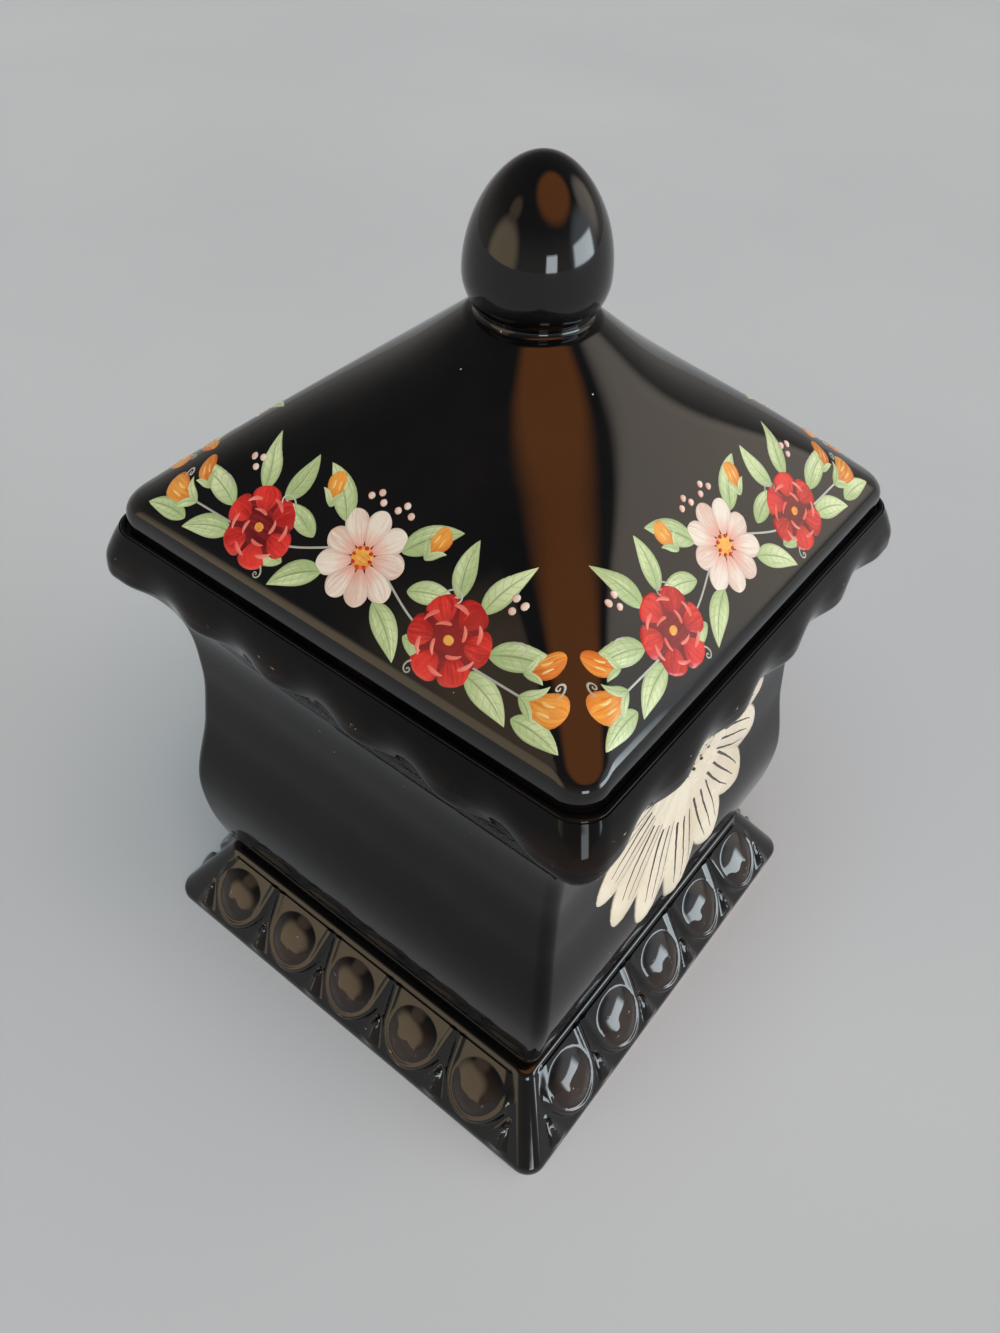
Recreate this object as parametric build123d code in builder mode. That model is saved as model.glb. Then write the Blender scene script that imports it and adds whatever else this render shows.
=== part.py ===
"""Square lidded canister in glazed earthenware.

The origin is the middle of the foot, +Z is up and the front, which carries the palmette, faces -Y.
"""

import os

from build123d import *

# Plinth: a hollow flared base with an upright foot edge and a ledge for the body
plinth_width = 166.0
plinth_top_width = 140.0
plinth_height = 27.0
plinth_wall = 6.0
plinth_corner_radius = 10.0
plinth_top_corner_radius = 7.0
foot_height = 3.0
ledge_round = 1.0
body_seat_width = 12.0

# Jar body: widths over the flats, from the plinth's ledge up to the rim
body_height = 127.0
base_width = 131.0
belly_width = 144.0
neck_width = 132.4
body_corner_radius = 5.0
body_wall = 5.5
cavity_corner_radius = 3.0
floor_thickness = 6.0

# Rim: a rolled lip with a scalloped edge, and inside it the gallery that carries the lid
rim_width = 161.2
rim_overhang = 4.2
rim_top_set_in = 3.8
rim_lip = 0.9
rim_height = 18.0
rim_corner_radius = 8.5
rim_corner_land = 4.0
scallop_depth = 2.8
scallops_per_side = 5
mouth_corner_radius = 6.0
gallery_width = 13.9
gallery_depth = 1.0
cove_height = 11.0

# Lid: a hollow pyramid with an upright edge, a rounded eave and hips that grow rounder up to the finial
lid_corner_radius = 8.0
lid_height = 59.0
lid_edge_height = 7.4
lid_top_width = 31.0
lid_bulge = 1.1
eave_radius = 6.0
lid_roof_thickness = 7.3
lid_seat_thickness = 5.0
lid_gap = 0.9

# Flange: the collar that keeps the lid in the mouth
flange_depth = 10.0
flange_wall = 4.0
flange_gap = 1.5

# Finial: an egg standing on its broad end
finial_height = 35.5
finial_radius = 17.4
finial_foot_radius = 15.0

# Egg-and-dart frieze on the four slopes of the plinth
eggs_per_side = 5
carving_sides = 10
shell_diameter = 19.5
shell_band = 1.9
shell_relief = 1.2
egg_diameter = 12.0
egg_relief = 2.0
dart_width = 5.4
dart_height = 9.5
dart_relief = 1.1
dart_foot_margin = 2.4

# Palmette on the front: petals fan out downwards from a round hub, the middle one the longest
palmette_hub_height = 122.0
palmette_hub_radius = 14.0
palmette_relief = 1.6
petal_count = 9
petal_step_angle = 20.0
petal_length = 67.0
side_petal_length = 46.0
petal_tip_radius = 9.5
petal_root_radius = 2.5

# How far a cut runs past the face it cuts
overrun = 2.0

# Profiles as shares: the height up the piece, then how far a width has gone to the next named one
body_rise_shares = (0.17, 0.28, 0.555, 0.715, 0.91)
swell_share = 0.82
waist_share = 0.775
flare_share = 0.36
rim_rise_shares = (0.0, 0.15, 0.42, 0.72, 1.0)
rim_reach_shares = (0.14, 0.81, 1.0, 0.58, 0.0)
rim_scallop_shares = (0.2, 1.0, 1.0, 0.55, 0.04)
roof_rise_shares = (-0.15, 0.35, 0.8, 1.0)
roof_swell_shares = (0.0, 0.64, 0.45, 0.0)
hip_round_shares = (0.28, 0.9, 0.97)
finial_girth_rise_share = 0.28
finial_shoulder_rise_share = 0.745
finial_shoulder_share = 0.72
egg_lift_share = 0.04
egg_rise_shares = (0.0, 0.66, 1.0)
egg_girth_shares = (1.0, 0.8, 0.42)

# Widths that follow the rim, from the throat under it to the lid and the mouth inside it
throat_width = rim_width - 2 * rim_overhang
rim_top_width = rim_width - 2 * rim_top_set_in
lid_recess_width = rim_top_width - 2 * rim_lip
lid_width = lid_recess_width - 2 * lid_gap
mouth_width = lid_recess_width - 2 * gallery_width

# Heights of the faces that pieces stand on
body_top_height = plinth_height + body_height
gallery_height = body_top_height + rim_height - gallery_depth
lid_top_height = gallery_height + lid_height


def between(start, end, share):
    """The size that lies a share of the way from start to end."""
    return start + (end - start) * share


def square_loft(levels, ruled=False):
    """A rounded-square form through levels of height, width and corner radius."""
    with BuildPart() as form:
        for height, width, corner in levels:
            with BuildSketch(Plane.XY.offset(height)):
                RectangleRounded(width, width, corner)
        loft(ruled=ruled)
    return form.part


def scalloped_square(width, depth, corner):
    """A rounded square whose sides run in and out in equal tangent arcs of the given depth."""
    half = width / 2
    inflection = half - depth / 2
    span = half - corner - rim_corner_land
    quarter = span / scallops_per_side / 2
    with BuildLine() as side:
        Line((corner - half, -half), (-span, -half))
        TangentArc((-span, -half), (quarter - span, -inflection), tangent=(1, 0))
        for index in range(scallops_per_side):
            dip = (4 * index + 2) * quarter - span
            dip_end = (dip + quarter, -inflection)
            ThreePointArc((dip - quarter, -inflection), (dip, depth - half), dip_end)
            if index < scallops_per_side - 1:
                crest = dip + 2 * quarter
                ThreePointArc(dip_end, (crest, -half), (crest + quarter, -inflection))
        TangentArc((span, -half), (span - quarter, -inflection), tangent=(-1, 0))
        Line((span, -half), (half - corner, -half))
        CenterArc((half - corner, corner - half), corner, -90, 90)
    with BuildSketch() as outline:
        with BuildLine():
            with PolarLocations(0, 4):
                add(side.line)
        make_face()
    return outline.sketch


# The plinth's sides slope straight from the foot edge to the ledge, inside and out
plinth_slopes = square_loft(
    (
        (0, plinth_width, plinth_corner_radius),
        (foot_height, plinth_width, plinth_corner_radius),
        (plinth_height, plinth_top_width, plinth_top_corner_radius),
    ),
    ruled=True,
)
recess_width = plinth_width - 2 * plinth_wall
recess_top_width = plinth_top_width - 2 * plinth_wall
plinth_recess = square_loft(
    (
        (-overrun, recess_width, plinth_corner_radius),
        (foot_height, recess_width, plinth_corner_radius),
        (plinth_height - plinth_wall, recess_top_width, plinth_top_corner_radius),
    ),
    ruled=True,
)
ledge_opening = base_width - 2 * body_seat_width
with BuildPart() as plinth:
    add(plinth_slopes)
    fillet(plinth.faces().sort_by(Axis.Z)[-1].edges(), ledge_round)
    add(plinth_recess, mode=Mode.SUBTRACT)
    with BuildSketch(Plane.XY.offset(plinth_height + overrun)):
        RectangleRounded(ledge_opening, ledge_opening, body_corner_radius)
    extrude(amount=-(plinth_wall + 2 * overrun), mode=Mode.SUBTRACT)

# The body swells to the belly, draws in to the neck and flares to the throat
body_widths = (
    between(base_width, belly_width, swell_share),
    belly_width,
    between(belly_width, neck_width, waist_share),
    neck_width,
    between(neck_width, throat_width, flare_share),
)
body_waves = [
    (plinth_height + rise * body_height, width)
    for rise, width in zip(body_rise_shares, body_widths)
]
body_throat = (body_top_height, throat_width)
body_profile = [(plinth_height, base_width), *body_waves, body_throat]
cavity_profile = [(plinth_height + floor_thickness, base_width), *body_waves, body_throat]
body_form = square_loft([(height, width, body_corner_radius) for height, width in body_profile])
body_cavity = square_loft(
    [(height, width - 2 * body_wall, cavity_corner_radius) for height, width in cavity_profile],
    ruled=True,
)
with BuildPart() as jar_body:
    add(body_form)
    add(body_cavity, mode=Mode.SUBTRACT)

# The rim swells from the throat to its scalloped edge and closes in again to a narrow top
rim_start_widths = (throat_width, throat_width, rim_top_width, rim_top_width, rim_top_width)
rim_corners = (body_corner_radius, *[rim_corner_radius] * 4)
rim_outlines = [
    scalloped_square(between(start, rim_width, reach), scallop * scallop_depth, corner)
    for start, reach, scallop, corner in zip(
        rim_start_widths, rim_reach_shares, rim_scallop_shares, rim_corners
    )
]
mouth_cove = square_loft(
    (
        (body_top_height, throat_width - 2 * body_wall, cavity_corner_radius),
        (body_top_height + cove_height, mouth_width, mouth_corner_radius),
    ),
    ruled=True,
)
with BuildPart() as scalloped_rim:
    for rise, outline in zip(rim_rise_shares, rim_outlines):
        with BuildSketch(Plane.XY.offset(body_top_height + rise * rim_height)):
            add(outline)
    loft()
    with BuildSketch(Plane.XY.offset(gallery_height)):
        RectangleRounded(lid_recess_width, lid_recess_width, lid_corner_radius + lid_gap)
    extrude(amount=gallery_depth + overrun, mode=Mode.SUBTRACT)
    with BuildSketch(Plane.XY.offset(body_top_height - overrun)):
        RectangleRounded(mouth_width, mouth_width, mouth_corner_radius)
    extrude(amount=rim_height + 2 * overrun, mode=Mode.SUBTRACT)
    add(mouth_cove, mode=Mode.SUBTRACT)

# The roof swells a little between the eave, which it runs past, and its top, where it is nearly round
eave_height = gallery_height + lid_edge_height
roof_heights = [between(eave_height, lid_top_height, rise) for rise in roof_rise_shares]
roof_widths = [
    between(lid_width, lid_top_width, rise) + 2 * swell * lid_bulge
    for rise, swell in zip(roof_rise_shares, roof_swell_shares)
]
hip_radii = [round_share * width / 2 for round_share, width in zip(hip_round_shares, roof_widths[1:])]
roof = square_loft(zip(roof_heights, roof_widths, (lid_corner_radius, *hip_radii)))
with BuildPart() as lid_form:
    with BuildSketch(Plane.XY.offset(gallery_height)):
        RectangleRounded(lid_width, lid_width, lid_corner_radius)
    extrude(amount=lid_height)
    add(roof, mode=Mode.INTERSECT)
    eave_top = eave_height + lid_edge_height
    low_edges = lid_form.edges().filter_by_position(Axis.Z, gallery_height, eave_top, (False, False))
    fillet(low_edges - low_edges.filter_by(Axis.Z), eave_radius)

# The underside of the roof is the same form lowered, hollow above a flat seat
with BuildPart() as lid_hollow:
    with Locations((0, 0, -lid_roof_thickness)):
        add(lid_form.part)
    split(bisect_by=Plane.XY.offset(gallery_height + lid_seat_thickness), keep=Keep.TOP)
flange_width = mouth_width - 2 * flange_gap
flange_opening = flange_width - 2 * flange_wall
with BuildPart() as lid_shell:
    add(lid_form.part)
    add(lid_hollow.part, mode=Mode.SUBTRACT)
    with BuildSketch(Plane.XY.offset(gallery_height - overrun)):
        Rectangle(flange_opening, flange_opening)
    extrude(amount=lid_seat_thickness + 2 * overrun, mode=Mode.SUBTRACT)

with BuildPart() as lid_flange:
    with BuildSketch(Plane.XY.offset(gallery_height - flange_depth)):
        RectangleRounded(flange_width, flange_width, mouth_corner_radius - flange_gap)
        Rectangle(flange_opening, flange_opening, mode=Mode.SUBTRACT)
    extrude(amount=flange_depth)

# The egg is broadest low down and stands on a flat foot
finial_foot = (finial_foot_radius, lid_top_height)
finial_girth = (finial_radius, lid_top_height + finial_girth_rise_share * finial_height)
finial_shoulder = (
    finial_shoulder_share * finial_radius,
    lid_top_height + finial_shoulder_rise_share * finial_height,
)
finial_apex = (0, lid_top_height + finial_height)
with BuildPart() as finial:
    with BuildSketch(Plane.XZ):
        with BuildLine():
            Spline(finial_foot, finial_girth, tangents=((1, 1), (0, 1)))
            Spline(finial_girth, finial_shoulder, finial_apex, tangents=((0, 1), (-1, 0)))
            Polyline(finial_apex, (0, lid_top_height), finial_foot)
        make_face()
    revolve(axis=Axis.Z)

# One slope's frieze lies on a plane in the front slope and is repeated round the plinth
slope_run = (plinth_width - plinth_top_width) / 2
slope_rise = plinth_height - foot_height
slope_length = Vector(slope_run, slope_rise).length
slope_middle = (0, (slope_run - plinth_width) / 2, foot_height + slope_rise / 2)
front_slope = Plane(slope_middle, x_dir=(1, 0, 0), z_dir=(0, -slope_rise, slope_run))
frieze_span = (plinth_width + plinth_top_width) / 2 - plinth_corner_radius - plinth_top_corner_radius
frieze_pitch = frieze_span / eggs_per_side
egg_lift = egg_lift_share * slope_length

with BuildPart() as front_shells:
    with BuildSketch(front_slope):
        with Locations((0, egg_lift)):
            with GridLocations(frieze_pitch, 0, eggs_per_side, 1):
                RegularPolygon(shell_diameter / 2, carving_sides)
            with GridLocations(frieze_pitch, 0, eggs_per_side, 1):
                RegularPolygon(shell_diameter / 2 - shell_band, carving_sides, mode=Mode.SUBTRACT)
    extrude(amount=shell_relief)
with BuildPart() as plinth_shells:
    with PolarLocations(0, 4):
        add(front_shells.part)

with BuildPart() as egg:
    for rise_share, girth_share in zip(egg_rise_shares, egg_girth_shares):
        with BuildSketch(Plane.XY.offset(rise_share * egg_relief)):
            RegularPolygon(girth_share * egg_diameter / 2, carving_sides)
    loft(ruled=True)
with BuildPart(front_slope) as front_eggs:
    with Locations((0, egg_lift)):
        with GridLocations(frieze_pitch, 0, eggs_per_side, 1):
            add(egg.part)
with BuildPart() as plinth_eggs:
    with PolarLocations(0, 4):
        add(front_eggs.part)

with BuildPart() as front_darts:
    with BuildSketch(front_slope):
        with Locations((0, dart_foot_margin - slope_length / 2)):
            with GridLocations(frieze_pitch, 0, eggs_per_side + 1, 1):
                Polygon((-dart_width / 2, 0), (dart_width / 2, 0), (0, dart_height), align=None)
    extrude(amount=dart_relief)
with BuildPart() as plinth_darts:
    with PolarLocations(0, 4):
        add(front_darts.part)

# The palmette lies on the curve of the front face
def petal(length):
    """A petal along +X that widens from its root to a round tip."""
    with BuildSketch() as outline:
        Circle(petal_root_radius)
        with Locations((length - petal_tip_radius, 0)):
            Circle(petal_tip_radius)
        make_hull()
    return outline.sketch


middle_petal = (petal_count - 1) / 2
palmette_plane = Plane((0, 0, palmette_hub_height), x_dir=(1, 0, 0), z_dir=(0, -1, 0))
with BuildSketch() as palmette_outline:
    Circle(palmette_hub_radius)
    for index in range(petal_count):
        lean_share = abs(index - middle_petal) / middle_petal
        length = between(petal_length, side_petal_length, lean_share)
        add(petal(length), rotation=(index - middle_petal) * petal_step_angle - 90)
with BuildPart() as front_palmette:
    with BuildSketch(palmette_plane):
        add(palmette_outline.sketch)
    extrude(amount=belly_width)
    with Locations((0, -palmette_relief, 0)):
        add(body_form, mode=Mode.INTERSECT)
    add(body_form, mode=Mode.SUBTRACT)

os.makedirs("parts", exist_ok=True)
pieces = {
    "jar_body": jar_body,
    "scalloped_rim": scalloped_rim,
    "plinth": plinth,
    "plinth_shells": plinth_shells,
    "plinth_eggs": plinth_eggs,
    "plinth_darts": plinth_darts,
    "front_palmette": front_palmette,
    "lid_shell": lid_shell,
    "lid_flange": lid_flange,
    "finial": finial,
}
for name, piece in pieces.items():
    piece.part.label = name
    export_step(piece.part, f"parts/{name}.step")
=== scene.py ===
"""Looks of the square lidded canister: black glaze, carved plinth, painted lid and cream palmette.

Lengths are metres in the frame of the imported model: the origin is the middle of the foot, +Z is up and
the palmette's face looks along -Y.
"""
import math

import bpy
import numpy as np
from mathutils import Matrix, Vector


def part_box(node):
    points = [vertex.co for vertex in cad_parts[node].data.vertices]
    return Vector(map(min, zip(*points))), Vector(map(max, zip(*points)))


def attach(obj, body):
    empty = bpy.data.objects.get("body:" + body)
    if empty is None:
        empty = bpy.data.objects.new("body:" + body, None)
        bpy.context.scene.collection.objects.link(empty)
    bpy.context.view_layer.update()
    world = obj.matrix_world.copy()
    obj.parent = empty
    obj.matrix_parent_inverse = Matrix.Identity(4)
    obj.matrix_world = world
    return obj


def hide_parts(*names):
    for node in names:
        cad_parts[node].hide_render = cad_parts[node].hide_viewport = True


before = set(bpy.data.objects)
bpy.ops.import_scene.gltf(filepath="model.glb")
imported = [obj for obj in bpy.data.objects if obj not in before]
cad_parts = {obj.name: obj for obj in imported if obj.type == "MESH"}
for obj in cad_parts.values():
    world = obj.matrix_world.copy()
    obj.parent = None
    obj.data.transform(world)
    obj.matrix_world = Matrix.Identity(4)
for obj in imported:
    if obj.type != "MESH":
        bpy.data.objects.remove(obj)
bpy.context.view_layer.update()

# Sizes read from the frame
plinth_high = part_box("plinth")[1]
body_low, body_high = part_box("jar_body")
rim_low, rim_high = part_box("scalloped_rim")
lid_low, lid_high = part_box("lid_shell")
flange_low, flange_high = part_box("lid_flange")
finial_low, finial_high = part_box("finial")

# Steps of the meshes round a square and along its profile
SIDE_STEPS = 120
CORNER_STEPS = 16
FRIEZE_SIDE_STEPS = 220
SOFT_STEPS = 5

# Plinth
FOOT_HEIGHT = 0.003
PLINTH_TOP_HALF = 0.0672
PLINTH_WALL = 0.006
PLINTH_CORNER = 0.0065
PLINTH_TOP_CORNER = 0.0045
LEDGE_OPENING_HALF = 0.0535
SLOPE_STEPS = 64
BARE_FOOT = 0.0007
FOOT_INSET = 0.002
FOOT_SOFT = 0.0008
FOOT_TOP_SHARE = 0.8
CARVED_SHARES = (0.02, 0.92)
SLOPE_TOP_SHARE = 0.93
LEDGE_SOFT = 0.0010
LEDGE_INNER_SOFT = 0.0005
PLINTH_HOLLOW_SOFT = 0.002

# Jar body
BASE_HALF = 0.0655
BODY_CORNER = 0.0038
BODY_WALL = 0.0055
BODY_FLOOR = 0.006
BODY_RISE_SHARES = (0.0, 0.17, 0.28, 0.555, 0.715, 0.91, 1.0)
BODY_HALVES = (BASE_HALF, 0.0708, 0.0720, 0.0675, 0.0662, 0.06987, body_high.x)
BODY_STEPS = 64
BODY_CORNER_INSET = 0.002
MIDDLE_HALF = 0.010

# Rim
RIM_TOP_HALF = 0.0768
RIM_CORNER = 0.0085
RIM_CORNER_LAND = 0.004
RIM_RISE_SHARES = (0.0, 0.15, 0.42, 0.72, 1.0)
RIM_REACH_SHARES = (0.03, 0.81, 1.0, 0.58, 0.0)
RIM_SCALLOP_SHARES = (0.0, 0.85, 0.62, 0.12, 0.0)
RIM_STEPS = 44
SCALLOP_DEPTH = 0.0028
SCALLOPS = 5
RECESS_HALF = 0.0759
RECESS_CORNER = 0.0089
GALLERY_DEPTH = 0.001
MOUTH_HALF = 0.062
MOUTH_CORNER = 0.006
COVE_HEIGHT = 0.011
RIM_OUTSIDE_SHARE = 0.97
RIM_CORNER_SHARE = 0.3
RIM_WEAR_SHARE = 0.5
RIM_WEAR_SPREAD_SHARE = 0.24
RIM_FOOT_INSET = 0.0002
LIP_DROP = 0.0006
LIP_INSET = 0.0002
LIP_SOFT = 0.0003
MOUTH_SOFT = 0.0012
COVE_SOFT = 0.002

# Lid
LID_CORNER = 0.008
LID_EDGE = 0.0074
LID_TOP_HALF = 0.0155
LID_BULGE = 0.0008
LID_ROOF = 0.0073
LID_SEAT = 0.005
EAVE_SOFT = 0.0030
ROOF_START_SHARE = 0.05
HIP_RISE_SHARES = (0.0, 0.35, 0.8, 1.0)
HIP_ROUND_SHARES = (LID_CORNER / lid_high.x, 0.28, 0.9, 0.97)
HOLLOW_STEP = 0.001
HOLLOW_SOFT = 0.0008
OPENING_CORNER = 0.003
SEAT_SOFT = 0.0012
FLANGE_WALL = 0.004
FLANGE_CORNER = 0.0045
FLANGE_INNER_CORNER = 0.002
FLANGE_OUTER_SOFT = 0.0014
FLANGE_INNER_SOFT = 0.001
FLANGE_TOP_SOFT = 0.0004
BARE_COLLAR = 0.0009
ROOF_STEPS = 48

# Egg-and-dart frieze on the plinth's slopes
FRIEZE_PITCH = 0.0272
EGGS = 5
SHELL_HALF_WIDTH = 0.0118
SHELL_HALF_HEIGHT = 0.0124
SHELL_TAPER_SHARE = 0.15
SHELL_BASE = 0.0005
SHELL_LEAN = 0.0018
SHELL_RIDGE = 0.0005
SHELL_RIDGE_SHARE = 0.87
SHELL_RIDGE_WIDTH_SHARE = 0.09
SHELL_EDGE_SHARES = (1.08, 0.94)
EGG_SHARE = 0.78
EGG_RELIEF = 0.0020
EGG_LIFT = 0.0008
BEADS = ((-0.0034, -0.0030), (0.0034, -0.0030), (0.0, -0.0058))
BEAD_RADIUS = 0.0032
BEAD_RELIEF = 0.0003
DART_HALF_WIDTH = 0.0052
DART_RELIEF = 0.0016
DART_TOP_SHARE = 0.44
FRIEZE_MARGIN = 0.0022
# Unevenness of the carving by hand: its share, and its waves in radians per metre along and up
HAND_SHARE = 0.05
HAND_WAVES = ((310, 90), (170, -240))
LEAST_WIDTH = 1e-6

# Finial: an egg, from its foot up, with a soft fillet onto the roof
GIRTH_RISE = 0.0098
EGG_FOOT_REACH = 0.0142
EGG_TAPER_SHARE = 0.09
EGG_TURNS = 96
EGG_STEPS = 40
EGG_FOOT_STEPS = 13
EGG_TIP_ANGLE = 0.02
FILLET_REACH = 0.0007
FILLET_DROP = 0.0012
FILLET_RISE = 0.0013
FILLET_STEPS = 8

# Refraction of the glaze, and a lower one for the quieter mirror of the jar's walls and rim
GLAZE_INDEX = 1.5
THIN_GLAZE_INDEX = 1.25

# Colours of the glaze and the clay, and scales of their textures
GLAZE_DARK = (0.0012, 0.0014, 0.0022)
GLAZE_LIGHT = (0.0042, 0.0036, 0.0034)
PINHOLE_COLOUR = (0.42, 0.38, 0.33, 1.0)
THIN_GLAZE_COLOUR = (0.050, 0.024, 0.012, 1.0)
SCUFF_COLOUR = (0.46, 0.43, 0.39, 1.0)
BISCUIT_DARK = (0.50, 0.40, 0.29)
BISCUIT_LIGHT = (0.64, 0.54, 0.42)
MOTTLE_SCALE = 55.0
FILM_SCALE = 90.0
PINHOLE_SCALE = 210.0
SCRATCH_SCALE = 330.0
SCRATCH_STRETCH = (1.0, 1.0, 3.2)
WAVE_SCALE = 38.0
SLIP_DARK = (0.69, 0.60, 0.44)
SLIP_LIGHT = (0.79, 0.73, 0.58)
SLIP_INK = (0.030, 0.024, 0.020, 1.0)

# Painted strokes
STROKE_STEPS = 16
STROKE_COLUMNS = 9
STROKE_SINK = 0.0002
PAINT_LIFT = 0.00012
STROKE_LEAST_SHARE = 0.02
STROKE_CROWN = 1.6
GOLDEN_SHARE = 0.618034


# Meshes
def mesh_piece(name, vertices, faces, material, body, crease_angle=50.0):
    """A smooth-shaded mesh that rides on a body."""
    mesh = bpy.data.meshes.new(name)
    mesh.from_pydata(np.asarray(vertices, float), [], faces)
    mesh.shade_smooth()
    mesh.set_sharp_from_angle(angle=math.radians(crease_angle))
    mesh.materials.append(material)
    piece = bpy.data.objects.new(name, mesh)
    bpy.context.scene.collection.objects.link(piece)
    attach(piece, body)
    return piece


def add_wear(piece, wear):
    """Keeps how exposed each vertex is, from 0 to 1, as an attribute."""
    attribute = piece.data.attributes.new("wear", "FLOAT", "POINT")
    attribute.data.foreach_set("value", np.asarray(wear, np.float32))


def rounded_square(half, corner, side_steps=SIDE_STEPS, corner_steps=CORNER_STEPS):
    """Points counter-clockwise round a square with rounded corners, the -Y side first."""
    flat = half - corner
    along = np.linspace(-flat, flat, side_steps + 1)
    turn = np.linspace(0, math.pi / 2, corner_steps + 1)[1:-1]
    side = np.column_stack([along, np.full_like(along, -half)])
    arc = np.column_stack([flat + corner * np.sin(turn), -flat - corner * np.cos(turn)])
    quarter = np.vstack([side, arc])
    quarter_turn = np.array([[0, 1], [-1, 0]])
    return np.vstack([quarter @ np.linalg.matrix_power(quarter_turn, k) for k in range(4)])


def ring(half, height, corner, **steps):
    """A rounded square at a height, as points in space."""
    flat = rounded_square(half, corner, **steps)
    return np.column_stack([flat, np.full(len(flat), height)])


def skin(rings, loop=False):
    """Vertices and faces of the surface through rings of equal counts, closed by end faces or into a loop."""
    count = len(rings[0])
    vertices = np.vstack(rings)
    here = np.arange(count)
    after = np.roll(here, -1)
    faces = []
    rows = len(rings) if loop else len(rings) - 1
    for row in range(rows):
        low = row * count
        high = (row + 1) % len(rings) * count
        faces.extend(np.column_stack([low + here, low + after, high + after, high + here]).tolist())
    if not loop:
        faces.append(here[::-1].tolist())
        faces.append((here + (len(rings) - 1) * count).tolist())
    return vertices, faces


def bezier(start, bend, end, steps):
    """Points on the curve that leaves the start and reaches the end along the lines to the bend."""
    share = np.linspace(0, 1, steps)[:, None]
    return (1 - share) ** 2 * start + 2 * share * (1 - share) * bend + share**2 * end


def soften(points):
    """A profile of (half, height, corner, soft): each point with a soft length becomes a short curve."""
    softened = []
    for index, (*place, soft) in enumerate(points):
        here = np.array(place)
        if soft == 0:
            softened.append(here)
            continue
        before = np.array(points[index - 1][:3])
        after = np.array(points[(index + 1) % len(points)][:3])
        start = here + (before - here) * soft / np.linalg.norm(before - here)
        end = here + (after - here) * soft / np.linalg.norm(after - here)
        softened.extend(bezier(start, here, end, SOFT_STEPS))
    return softened


def smooth_through(places, knots, values):
    """Values at places on a smooth curve through the knots."""
    knots = np.asarray(knots, float)
    values = np.asarray(values, float)
    slopes = np.gradient(values, knots)
    index = np.clip(np.searchsorted(knots, places) - 1, 0, len(knots) - 2)
    span = knots[index + 1] - knots[index]
    t = (places - knots[index]) / span
    return (
        (1 + 2 * t) * (1 - t) ** 2 * values[index]
        + t * (1 - t) ** 2 * span * slopes[index]
        + t**2 * (3 - 2 * t) * values[index + 1]
        + t**2 * (t - 1) * span * slopes[index + 1]
    )


def ease(low, high, value):
    """0 below low, 1 above high and a smooth step between them."""
    share = np.clip((value - low) / (high - low), 0, 1)
    return share * share * (3 - 2 * share)


# Materials
def node(tree, kind, settings=None, **inputs):
    """A shader node with its settings and its inputs, each a value or another node's output."""
    made = tree.nodes.new("ShaderNode" + kind)
    for key, value in (settings or {}).items():
        setattr(made, key, value)
    for key, value in inputs.items():
        socket = made.inputs[int(key[1:])] if key[0] == "i" and key[1:].isdigit() else made.inputs[key]
        if isinstance(value, bpy.types.NodeSocket):
            tree.links.new(value, socket)
        else:
            socket.default_value = value
    return made


def math_node(tree, operation, first, second=0.0, third=0.0):
    """The output of a math node."""
    return node(tree, "Math", {"operation": operation}, i0=first, i1=second, i2=third).outputs[0]


def remap(tree, value, low, high, start, end):
    """A value's range mapped to another, held at its ends."""
    return node(tree, "MapRange", i0=value, i1=low, i2=high, i3=start, i4=end).outputs[0]


def noise(tree, place, scale, detail=3.0, roughness=0.5):
    """Soft noise from about 0.2 to 0.8."""
    made = node(tree, "TexNoise", Vector=place, Scale=scale, Detail=detail, Roughness=roughness)
    return made.outputs["Fac"]


def new_material(name):
    """A new principled material: itself, its node tree, its shader and its object coordinates."""
    material = bpy.data.materials.new(name)
    material.use_nodes = True
    tree = material.node_tree
    place = node(tree, "TexCoord").outputs["Object"]
    return material, tree, tree.nodes["Principled BSDF"], place


def ramp(tree, factor, stops):
    """A colour ramp through (position, colour) stops."""
    made = node(tree, "ValToRGB", Fac=factor)
    elements = made.color_ramp.elements
    while len(elements) < len(stops):
        elements.new(1.0)
    for element, (position, colour) in zip(elements, stops):
        element.position = position
        element.color = (*colour, 1.0)
    return made.outputs["Color"]


def mix(tree, factor, first, second):
    """The second colour over the first by a factor."""
    made = node(tree, "Mix", {"data_type": "RGBA"}, i0=factor, i6=first, i7=second)
    return made.outputs[2]


def specks(tree, place, scale, size, share):
    """1 in small round spots at a share of the cells of a grid, and 0 elsewhere."""
    cells = node(tree, "TexVoronoi", Vector=place, Scale=scale)
    near = math_node(tree, "LESS_THAN", cells.outputs["Distance"], size)
    pick = node(tree, "SeparateColor", Color=cells.outputs["Color"]).outputs["Red"]
    chosen = math_node(tree, "LESS_THAN", pick, share)
    return math_node(tree, "MULTIPLY", near, chosen)


def dress(tree, shader, colour, gloss, height, strength, distance):
    """Gives a shader its colour, its roughness and a bump from a height."""
    bump = node(tree, "Bump", Strength=strength, Distance=distance, Height=height).outputs["Normal"]
    for socket, value in (("Base Color", colour), ("Roughness", gloss), ("Normal", bump)):
        tree.links.new(value, shader.inputs[socket])


def stroke_place(tree):
    """The place in a painted stroke as a vector, and how far along, how far across and which stroke it is."""
    mark = node(tree, "Attribute", {"attribute_name": "stroke"}).outputs["Vector"]
    parts = node(tree, "SeparateXYZ", Vector=mark)
    return mark, *(parts.outputs[axis] for axis in "XYZ")


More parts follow.
